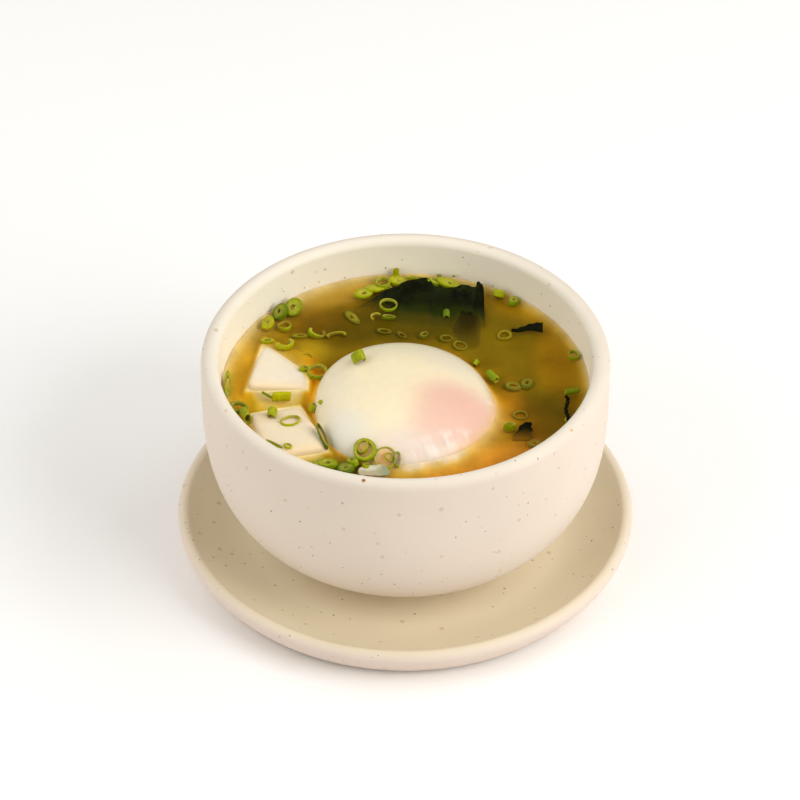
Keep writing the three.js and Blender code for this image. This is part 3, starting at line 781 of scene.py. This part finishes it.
# For what each slice lies on: x, y, outside radius, length along the leaf, how round it is left by
# pressing (1 round, 0 flat), lean from upright and heading of the lean in degrees, green (0 pale to
# 1 dark), and the wall where it isn't SLICE_WALL.
SLICES = {
    "broth": [
        [-36.4, 39.4, 3.5, 1.9, 0.8, 24, 250, 0.65, 2.9],
        [-40.6, 36.6, 3.1, 2.4, 0.72, 30, 225, 0.9, 3],
        [-44.6, 31.4, 2.8, 1.6, 0.7, 10, 250, 0.1, 3],
        [-44.6, 22.2, 2.2, 1.3, 0.45, 5, 0, 0.15, 1.2],
        [-28.1, 6.4, 3.4, 1.5, 1, 6, 0, 0.5, 0.75],
        [-56.6, -0.6, 4.8, 1.6, 0.22, -20, 90, 0.5, 3],
        [-52.9, -11.8, 3.1, 1.7, 0.8, 8, 330, 0.85, 1.1],
        [-50.4, -16.6, 2, 4.6, 0.7, 80, 290, 0.4],
        [-39.3, -6.9, 1.7, 6, 0.75, 90, 2, 0.05],
        [-43.9, -5.4, 0.5, 4.6, 0.8, 90, 318, 0.6],
        [-29.2, -11.8, 1.6, 2.4, 0.8, 35, 60, 0.25],
        [-28.8, -40.8, 3, 1.6, 0.6, 20, 90, 0.6, 2.2],
        [-24.6, -39.6, 3.6, 2, 0.6, 12, 170, 0.7, 2.9],
        [-16.4, -38.8, 2.4, 2.2, 0.7, 30, 120, 0.5, 1.9],
        [-18.6, -41.6, 3.4, 1.5, 0.85, 10, 90, 1, 3.2],
        [-12.3, -40.2, 1.5, 1, 0.8, 20, 60, 0.3, 0.45],
        [-13.6, 47.2, 3.4, 1.2, 0.6, 8, 30, 0.4, 2.9],
        [-9.8, 49.8, 3.6, 1.2, 0.6, 8, 15, 0.3, 3.6],
        [-7.3, 52.6, 2.9, 1.8, 0.85, 10, 90, 0.5, 0.65],
        [-5.7, 49.9, 1, 1.2, 0.9, 20, 0, 0.2, 0.35],
        [-2.4, 53.6, 3.1, 1.4, 0.75, 10, 0, 0.2, 3.1],
        [3.8, 55.2, 3.8, 1, 0.3, 8, 0, 0.2, 1.5],
        [9.4, 53.2, 3, 1.6, 0.65, 14, 10, 0.6, 2.4],
        [14, 52.4, 3.9, 1.4, 0.5, 10, 350, 0.4, 3.9],
        [30.6, 46.4, 2.4, 2.6, 0.8, 40, 60, 0.3, 1.9],
        [35.2, 43, 2.6, 1.8, 0.6, 15, 60, 0.7, 2.3],
        [54, 15, 1.9, 1.4, 1, 5, 0, 0.5, 0.5],
        [27.8, 3.6, 1.4, 4.8, 0.9, 90, 305, 0.6],
        [53, -3.6, 1, 4.8, 0.9, 90, 15, 0.75],
        [32.8, -21.2, 1.9, 3, 0.4, 8, 0, 0.55, 0.7],
    ],
    "egg": [
        [-15, 1.8, 3.3, 3.4, 0.6, 50, 118, 0.35, 0.9],
        [-12.6, -35.8, 3.9, 1.9, 0.95, 28, 250, 0.5, 1.4],
        [-13.3, -34.7, 2.4, 1.6, 0.75, 28, 250, 0.35, 0.5],
        [-6.4, -38.2, 4, 1, 0.85, 28, 270, 0.5, 0.6],
        [-5.2, -37.8, 1.6, 0.9, 0.8, 28, 290, 0.3, 0.5],
        [-2.5, -38.4, 2.6, 1.2, 0.42, 28, 270, 0.5, 0.6],
        [-26.8, -13.2, 0.8, 1.2, 0.8, 40, 40, 0.3, 0.4],
    ],
    "tofu_back": [
        [-32.4, 8, 1.7, 1.8, 0.6, 25, 20, 0.2],
    ],
    "tofu_front": [
        [-42, -17, 1.9, 3.2, 0.85, 75, 80, 0.3],
        [-36.2, -20.8, 3.3, 1, 0.72, 6, 18, 0.1, 0.55],
        [-36.8, -33.4, 1.4, 0.9, 0.95, 15, 60, 0.1, 0.45],
        [-41.2, -32.4, 3, 1, 0.22, 8, 333, 0.4, 0.6],
        [-26, -28.6, 4.7, 2.2, 0.2, 12, 292, 0.95],
    ],
    "wakame_frond": [
        [-5.6, 40.4, 2.9, 1.1, 0.95, 4, 0, 0.6, 0.5],
    ],
}
# Slices that are sunk in the broth, or with a depth below 0 stand against the wall or lie over a
# leaf: the same values, then the depth of the middle under the surface.
SUNK_SLICES = [
    [-39.2, 31.2, 2.5, 1.6, 0.95, 15, 90, 0.3, 0.6, 0.9],
    [-34.1, 26.6, 2.9, 1.2, 0.4, 8, 5, 0.8, 2, 1.2],
    [-17.2, 35.9, 3.7, 1.6, 0.42, 10, 305, 0.8, 3.4, 1.2],
    [-6.9, 29, 2.6, 1.2, 0.5, 15, 0, 1, 1.2, 1.2],
    [-1.2, 27.2, 1.8, 1, 0.6, 20, 330, 1, 0.9, 1.3],
    [6, 27.2, 2.1, 1.4, 0.6, 20, 60, 0.9, 1.2, 1.2],
    [13.1, 25.4, 2.2, 1, 0.8, 14, 20, 1, 0.8, 1.25],
    [17.6, 21.6, 2.5, 1, 0.85, 12, 340, 1, 0.8, 1.25],
    [22.6, 11.8, 1.3, 2, 0.6, 70, 60, 0.5, 0.4, 0.3],
    [32, 27, 2.4, 1.2, 1, 4, 0, 0.4, 0.9, 1.2],
    [34.4, 0.9, 2.9, 1.4, 0.85, 12, 0, 1, 1.9, 1.3],
    [38.7, 2.2, 2.9, 1.6, 0.7, 15, 90, 1, 2.3, 1.3],
    [36.4, -13.7, 2.4, 1, 0.85, 8, 0, 1, 0.7, 1.15],
    [40.6, -27.3, 2.6, 1, 0.8, 10, 30, 0.9, 2.2, 1.4],
    [51.4, -16.8, 1.2, 1, 0.8, 20, 0, 0.3, 0.5, 0.4],
    [-5.4, 35.4, 2.4, 1, 0.45, 10, 15, 0.9, 0.9, 0.2],
    [13.3, 36.5, 1.9, 2.6, 0.6, 70, 90, 0.9, 0.8, 0.3],
    [-3.1, 57.2, 1, 3.2, 0.6, 0, 0, 0.2, 0.4, -1.2],
    [11.2, 57.1, 1, 0.6, 0.8, 50, 80, 0.6, 0.4, -0.8],
    [16, 56, 0.8, 0.5, 0.7, 50, 75, 0.6, 0.3, -1.2],
]
# Slices cut open or torn, so that they lie as bows: as the sunk slices, then the share of the ring
# that is gone and the heading of the gap, from the lean's heading, in degrees anticlockwise.
OPEN_SLICES = [
    [-38.8, 20.2, 3, 1.7, 0.85, 10, 30, 0.15, 1.5, -0.7, 0.35, 90],
    [-32.7, 14.8, 2.8, 0.8, 0.5, 5, 175, 0.5, 0.5, 0.4, 0.5, 90],
    [-28.5, 27.7, 3.2, 1.8, 0.75, 15, 10, 0.5, 1.4, 0.9, 0.3, 90],
    [-22.2, 26.2, 3.2, 1.3, 0.5, 8, 190, 0.4, 0.9, 0.6, 0.42, 90],
    [-9.5, 35.4, 1.9, 1, 0.9, 5, 230, 0.05, 0.45, 0.1, 0.45, 90],
]
# How far a slice's middle stands above what it lies on.
SLICE_LIFT = {"broth": 0.35, "egg": 0.5, "tofu_back": 0.5, "tofu_front": 0.5, "wakame_frond": 0.9}


def host_top(host, x, y):
    """Height of what a slice lies on; the frond is low enough to count as the broth."""
    if host == "egg":
        return egg_top(x, y)
    return tofu_top(TOFU[host], x, y) if host in TOFU else SOUP_LEVEL


def slice_rows():
    """All the whole slices as one array: their values up to the wall, then the height of the
    middle. One that leans is raised, up to 0.6 of its radius when it lies on its side."""
    rows = []
    for host, lift in SLICE_LIFT.items():
        for row in SLICES[host]:
            x, y, radius, _, _, lean = row[:6]
            raised = np.sin(np.radians(lean)) ** 2 * max(0, radius * 0.6 - lift)
            wall = [] if len(row) == 9 else [SLICE_WALL]
            rows.append([*row, *wall, host_top(host, x, y) + lift + raised])
    for *row, depth in SUNK_SLICES:
        rows.append([*row, SOUP_LEVEL - depth])
    return np.array(rows)


def slice_tubes(rows, turn):
    """Every slice at once, as tubes. The section is a rounded oblong, from roots of the cosine and
    sine of its loop, carried round the turns of an uneven ring; the ring is pressed, its ends are
    cut a little aslant, and it leans and turns. Also gives how far out in the wall and how near a
    cut end each point is."""
    chance = np.random.default_rng(7).random((len(rows), 6))[:, :, None, None]
    x, y, radius, length, pressed, lean, heading, _, wall, height = rows.T[:, :, None, None]
    turn = turn[..., None]
    loop = np.linspace(2 * np.pi, 0, SLICE_SECTION, endpoint=False)[None, None, :]
    out = np.sign(np.cos(loop)) * np.abs(np.cos(loop)) ** 0.45
    along = np.sign(np.sin(loop)) * np.abs(np.sin(loop)) ** 0.45
    wall = wall * (0.9 + 0.12 * np.sin(turn + 9 * chance[:, 0]))
    wall = np.minimum(wall, radius * 0.97)
    uneven = 1 + 0.035 * np.sin(2 * turn + 9 * chance[:, 1])
    uneven = uneven + 0.025 * np.sin(3 * turn + 9 * chance[:, 2])
    reach = (radius - wall / 2) * uneven + out * wall / 2
    drawn = np.minimum(1, (SLICE_REACH - radius * pressed) / np.hypot(x, y))
    px = reach * np.cos(turn)
    py = reach * np.sin(turn) * pressed
    pz = along * length / 2 + 0.1 * radius * np.sin(turn + 9 * chance[:, 3])
    px, pz = rotated(px, pz, -lean)
    px, py = rotated(px, py, heading)
    points = np.stack(np.broadcast_arrays(px + x * drawn, py + y * drawn, pz + height), -1)
    return points, np.broadcast_to(out, points.shape[:3]), np.broadcast_to(along, points.shape[:3])


def slice_colours(rows, out, cut):
    """Green outside by each slice's own green, pale inside, and between the two on the cut ends."""
    pale, mid, dark, inner, end = lights("b6b004", "8a9a02", "556a02", "b4aa40", "a6a010")
    green = rows[:, 7][:, None, None, None]
    skin = mix(mix(pale, mid, (2 * green).clip(0, 1)), dark, (2 * green - 1).clip(0, 1))
    shown = np.maximum(smooth(out, -0.6, 0.5)[..., None], 0.55 * green)
    colour = mix(inner, skin, shown)
    cut_end = 0.6 * smooth(np.abs(cut), 0.9, 1.0) * smooth(out, 0.9, 0.5)
    return mix(colour, end, cut_end[..., None] * (1 - 0.9 * green**2))


def joined(parts):
    """Points and faces of several surfaces as one."""
    starts = np.cumsum([0] + [len(points) for points, _ in parts])
    faces = [kind + start for (_, kinds), start in zip(parts, starts) for kind in kinds]
    return np.concatenate([points for points, _ in parts]), faces


rows = slice_rows()
around = np.tile(np.linspace(0, 2 * np.pi, RING_COLUMNS, endpoint=False), (len(rows), 1))
tubes, out, cut = slice_tubes(rows, around)
closed = quads(*tubes.shape[1:3], close_rows=True)
parts = [(tube.reshape(-1, 3), [closed]) for tube in tubes]
colours = list(slice_colours(rows, out, cut).reshape(len(rows), -1, 3))

bows = np.array(OPEN_SLICES)
half_gap, middle = np.pi * bows[:, 10], np.radians(bows[:, 11])
start, end = middle + half_gap, middle + 2 * np.pi - half_gap
rows = np.c_[bows[:, :9], SOUP_LEVEL - bows[:, 9]]
around = np.linspace(start, end, BOW_COLUMNS).T
tubes, out, cut = slice_tubes(rows, around)
for tube, colour in zip(tubes, slice_colours(rows, out, cut)):
    parts.append(shell(tube, tube[0].mean(0), tube[-1].mean(0)))
    colours.append(np.r_[colour.reshape(-1, 3), [colour[0].mean(0), colour[-1].mean(0)]])
scallion_look = {"Roughness": 0.32, "Specular_IOR_Level": 0.14, "Subsurface_Weight": 0.1}
scallion = wet_food("scallion_slice", 1.2, 0.8, 1.15, 0.5, 0.03, 0.6, **scallion_look)
slices = piece("scallion_slices", *joined(parts), scallion, "scallion")
store_colour(slices, "painted", np.concatenate(colours))

# ---- broth ------------------------
# Dashi with miso stirred in: cloudy, with the fine paste hanging in it. It is made as two pieces:
# the cloudy body, whose top lies just under the surface, and the clear wet film at the surface.
# What is near the surface shows pale through the cloud: the wall at the back, the egg and the tofu.
FILM_DEPTH = 1.5  # from the surface to the body's top, away from the edges
FILM_THICK = 0.12
BRIM_REACH = 2.5  # how far from an edge the body's top takes to sink to that depth
WALL_GAP = 0.05  # between the body's side and the wall
EDGE_LAP = 0.05  # how far the surface goes into the wall
SOUP_ROWS = 132  # rings in the body's top
FILM_ROWS = 80
SOUP_COLUMNS = 420


def inner_radius(height):
    """Radius of the bowl's inside at a height, read off the wall's curve."""
    wall = inside_point(WALL_STEPS)
    return np.interp(height, wall[::-1, 1], wall[::-1, 0])


def disc(radius, rows):
    """Flat rings from the wall to the axis, without the axis."""
    share = 1 - np.linspace(0, 1, rows, endpoint=False)
    return circles(np.c_[radius * share, 0 * share], SOUP_COLUMNS)


def quad_distance(corners, x, y):
    """Distance outside a four-sided plan, 0 inside, and how much the nearest point of its edge
    faces the front, from -1 to 1. That point is the side's corner plus the share of the side that
    the place projects to."""
    nearest, front, inside = np.full(x.shape, np.inf), np.zeros(x.shape), np.full(x.shape, True)
    corners = np.array(corners)
    for corner, (along, up) in zip(corners, np.roll(corners, -1, 0) - corners):
        from_x, from_y = x - corner[0], y - corner[1]
        share = ((from_x * along + from_y * up) / (along**2 + up**2)).clip(0, 1)
        across, back = from_x - share * along, from_y - share * up
        away = np.hypot(across, back)
        front = np.where(away < nearest, -back / np.maximum(away, 1e-6), front)
        nearest = np.minimum(nearest, away)
        inside &= from_x * up - from_y * along < 0
    return np.where(inside, 0, nearest), front


def egg_distance(x, y):
    """Distance outside the egg's edge at the surface, and the angle round its centre."""
    across, back, _, angle = from_egg(x, y)
    tilt = egg_tilt(EGG_RADIUS * np.cos(angle), EGG_RADIUS * np.sin(angle))
    rise = (SOUP_LEVEL - EGG_WIDEST - tilt) / EGG_DOME
    edge = egg_radius(angle) * np.sqrt(1 - rise.clip(0, 1) ** 2)
    return np.hypot(across, back) - edge, angle


# How much red, green and blue light is lost along a path of 1.
SOUP_CLEARS = np.array([0.4, 0.6, 1.35])
# Cloudy patches in the broth, as tints; the first is painted shade, where the frond shades the
# broth.
SOUP_PATCHES_AND_SHADE = [
    ((0, 35), (26, 13), 0, "504402", 0.96, 5),  # in the frond's shade
    ((-26, 31), (15.5, 9.5), -14, "584802", 0.98, 6),  # left of it
    ((-20, 49.5), (17, 5), 20, "ac842c", 0.85, 4),  # by the back wall
    ((37, 43), (10, 5), -42, "a07806", 0.8, 3),
    ((-31, 20), (7, 6), -40, "b09018", 0.9, 3),  # behind the tofu
    ((35, 14), (11, 10), 0, "7e6206", 0.8, 3),
    ((34, -8), (4.5, 12), 0, "a87412", 0.85, 3),  # right of the egg
    ((48, 12), (7, 17), 3, "a07206", 0.8, 3),  # by the right wall
    ((43, -13), (10, 11), 15, "5c4a04", 0.9, 3),
    ((39, -27), (8, 8), -40, "6c5004", 0.8, 3),
    ((18, -39), (24, 8), 24, "d08428", 0.95, 4),  # in front of the egg
    ((-8, -43), (12, 4), 0, "a88a30", 0.8, 4),
    ((-29, 0), (4.5, 17), 8, "e0960a", 0.97, 4),  # between the egg and the tofu
    ((-53, 9), (5, 26), 4, "dc9a14", 0.97, 4),  # between the tofu and the wall
    ((-42, -7), (11, 5), 8, "c09a1c", 0.9, 4),
    ((-22, -38), (12, 5), -20, "8c7c10", 0.8, 3),
]


def seen_through(colour, shown, path):
    """The broth's colour with something shown through it: the share of that which is left is the
    exponential of minus what is lost along the path."""
    left = np.exp(-SOUP_CLEARS * path[:, None])
    return lights(shown) * left + colour * (1 - left)


def soup_colour(x, y):
    """The cloud's own colour with its patches and the frond's painted shade, then what shows
    through it near the surface: the bowl's wall, the egg, torn white that hangs off the egg, and
    the tofu. A path grows with the distance over a clear length, which is longer where the edge
    slopes away under the broth; in front of the tofu it is cut short near the corners, and at the
    front right corner that is painted shade where the egg shades the broth."""
    colour = tinted(lights("7b6406"), x, y, SOUP_PATCHES_AND_SHADE)
    reach = (BOWL_RADIUS - WALL - WALL_GAIN - np.hypot(x, y)).clip(0)
    angle = np.arctan2(y, x)
    clear = 0.55 + 1.3 * facing(angle, 112, 0.3, 1) + 1.3 * facing(angle, 165, 0.5, 1)
    clear += 0.5 * facing(angle, 30, 0.5, 1)
    colour = seen_through(colour, "ddc79c", 0.15 + reach / clear)
    away, angle = egg_distance(x, y)
    clear = 0.4 + 2.4 * facing(angle, -52, 0.25, 0.95)
    colour = seen_through(colour, "f4cf9e", 0.4 + away.clip(0) / clear)
    torn = 1.1 + 0.5 * np.sin(0.45 * x + 0.8) - 0.2 * np.sin(1.3 * x + y)
    path = 0.15 + (away - torn).clip(0) + 6 * (1 - facing(angle, -73, 0.75, 0.97))
    colour = seen_through(colour, "eed9be", path)
    for block in TOFU.values():
        away, front = quad_distance(block["corners"], x, y)
        left, right = block["corners"][0][0], block["corners"][1][0]
        # The long fade in front of a block stops short of its corners; at the front right corner
        # this is painted shade, where the egg shades the broth.
        between = smooth(x, left + 1, left + 7) * smooth(x, right - 0.5, right - 5)
        clear = mix(*block["fades"], smooth(front, 0.5, 1) * between)
        sunk = (SOUP_LEVEL - tofu_top(block, x, y)).clip(0)
        colour = seen_through(colour, "fbe9c4", 0.25 + away / clear + sunk / 0.3)
    return colour


def nearest_edge(x, y):
    """Distance to the nearest of the wall, the egg and the tofu."""
    away = [inner_radius(SOUP_LEVEL) - np.hypot(x, y), egg_distance(x, y)[0]]
    away += [quad_distance(block["corners"], x, y)[0] for block in TOFU.values()]
    return np.min(away, 0).clip(0)


def broth_body():
    """The bowl's inside, just within its wall, up to under the film, and a top of rings that dips
    away from the film as a smooth step over the distance to the nearest edge."""
    wall = inside_point(WALL_STEPS, WALL_GAP)[::-1]
    wall = wall[wall[:, 1] < SOUP_LEVEL - FILM_DEPTH - 0.5]
    brim = SOUP_LEVEL - 2 * FILM_THICK
    top = disc(inner_radius(brim) + EDGE_LAP, SOUP_ROWS)
    away = nearest_edge(top[..., 0], top[..., 1])
    top[..., 2] = brim - (FILM_DEPTH - 2 * FILM_THICK) * smooth(away, 0.2, BRIM_REACH)
    rings = np.concatenate([circles(wall, SOUP_COLUMNS), top])
    return shell(rings, [0, 0, wall[0, 1]], [0, 0, SOUP_LEVEL - FILM_DEPTH])


def broth_film():
    """A thin disc at the surface, with faint ripples, that climbs a little where it wets the wall:
    by the exponential of minus the distance. Its underside is its top, moved down."""
    edge = inner_radius(SOUP_LEVEL)
    top = disc(edge + EDGE_LAP, FILM_ROWS)
    x, y = top[..., 0], top[..., 1]
    climb = 0.3 * np.exp(-(edge - np.hypot(x, y)).clip(0) / 0.7)
    ripple = 0.02 * np.sin(0.5 * x + 0.2 * y) * np.sin(0.35 * y - 0.1 * x)
    top[..., 2] = SOUP_LEVEL + climb + ripple
    low = top[::-1] - [0, 0, FILM_THICK]
    return shell(np.concatenate([low, top]), [0, 0, SOUP_LEVEL - FILM_THICK], [0, 0, SOUP_LEVEL])


def cloudy_finish():
    """The body's stored colours, with drifting clouds of paste and fine pale grains in them."""
    made, tree, shader, where = finish("miso_cloud", Roughness=0.3, Specular_IOR_Level=0.05)
    drift = noise(tree, where, 9, 4.0, 0.6)
    colour = mottled(tree, stored(tree, "painted"), drift, 0.2, 0.82, 1.22)
    grains = math(tree, "MULTIPLY", specks(tree, where, 1.7, 0.1, 0.26, 0.5), 0.22)
    colour = blended(tree, grains, colour, linear("c7a45c"))
    tree.links.new(colour, shader.inputs["Base Color"])
    return made


def film_finish():
    """Clear amber water: glossy, and see-through but for the share in its stored number."""
    water_look = {"Roughness": 0.06, "IOR": 1.34, "Specular_IOR_Level": 0.3}
    made, tree, shader, where = finish("broth_surface", **water_look)
    haze = stretched(tree, noise(tree, where, 5, 3.0), 0.35, 0.7)
    colour = blended(tree, haze, linear("6a4f0c"), linear("7d6320"))
    tree.links.new(colour, shader.inputs["Base Color"])
    tree.links.new(stored(tree, "cover", "Fac"), shader.inputs["Alpha"])
    return made


points, faces = broth_body()
body = piece("broth_body", points, faces, cloudy_finish(), "broth", ["broth"])
store_colour(body, "painted", soup_colour(points[:, 0], points[:, 1]))
for sunk in (egg, shred, *tofu_blocks, *weeds, slices):
    place = np.empty(3 * len(sunk.data.vertices))
    sunk.data.vertices.foreach_get("co", place)
    x, y, _ = place.reshape(-1, 3).T / MM
    store_colour(sunk, "cloud", soup_colour(x, y))
points, faces = broth_film()
film = piece("broth_surface", points, faces, film_finish(), "broth", ["broth"])
cover = 0.03 + 0.05 * smooth(nearest_edge(points[:, 0], points[:, 1]), 0, 5)
cover[: FILM_ROWS * SOUP_COLUMNS] = 0  # the underside doesn't show, nor its middle point
cover[-2] = 0
store_number(film, "cover", cover)

# ---- floor, lights and camera ------------------------
# A plain pale floor and soft studio lights: a strong one at the front right, a weaker one at the
# front left, and soft ones behind and above. None of it belongs to the part.
FLOOR_HALF = 6.0  # from the floor's middle to its edges, in metres


def aimed(made, place, target):
    """Puts an object at a place, with its -Z axis towards the target."""
    made.location = place
    made.rotation_euler = (Vector(target) - Vector(place)).to_track_quat("-Z", "Y").to_euler()
    bpy.context.scene.collection.objects.link(made)


for name, place, size, power in (
    ("front_right_light", (0.9, -0.5, 0.7), 0.8, 10.9),
    ("front_left_light", (-0.9, -0.45, 0.7), 1.0, 6.2),
    ("back_right_light", (0.85, 0.35, 0.9), 0.8, 3.8),
    ("back_left_light", (-0.8, 0.55, 0.8), 1.0, 3.4),
    ("top_light", (0.0, 0.1, 1.3), 1.2, 2.65),
):
    lamp = bpy.data.lights.new(name, "AREA")
    lamp.size = size
    lamp.energy = power
    aimed(bpy.data.objects.new(name, lamp), place, (0, 0, 0.05))

world = bpy.data.worlds.new("studio")
world.use_nodes = True
sky = world.node_tree.nodes["Background"].inputs
sky["Color"].default_value = linear("ffffff")
sky["Strength"].default_value = 0.2
bpy.context.scene.world = world

floor_mesh = bpy.data.meshes.new("floor")
corners = [(-1, -1), (1, -1), (1, 1), (-1, 1)]
floor_corners = [(x * FLOOR_HALF, y * FLOOR_HALF, 0) for x, y in corners]
floor_mesh.from_pydata(floor_corners, [], [(0, 1, 2, 3)])
floor = bpy.data.objects.new("floor", floor_mesh)
bpy.context.scene.collection.objects.link(floor)
floor_mesh.materials.append(finish("floor_paper", Roughness=0.9, Base_Color=linear("fdfbf7"))[0])

# The camera stands 1.5 m from the middle of the bowl's rim, looking down by 38.7 degrees, and aims
# a little below the rim to take in the saucer.
camera = bpy.data.cameras.new("camera")
camera.lens = 212.76
camera.sensor_width = 36
camera.clip_end = 20
camera_object = bpy.data.objects.new("camera", camera)
aimed(camera_object, (0, -1.1701, 1.0110), (-0.001713, -0.007762, 0.062823))
bpy.context.scene.camera = camera_object
bpy.context.scene.view_settings.view_transform = "Standard"
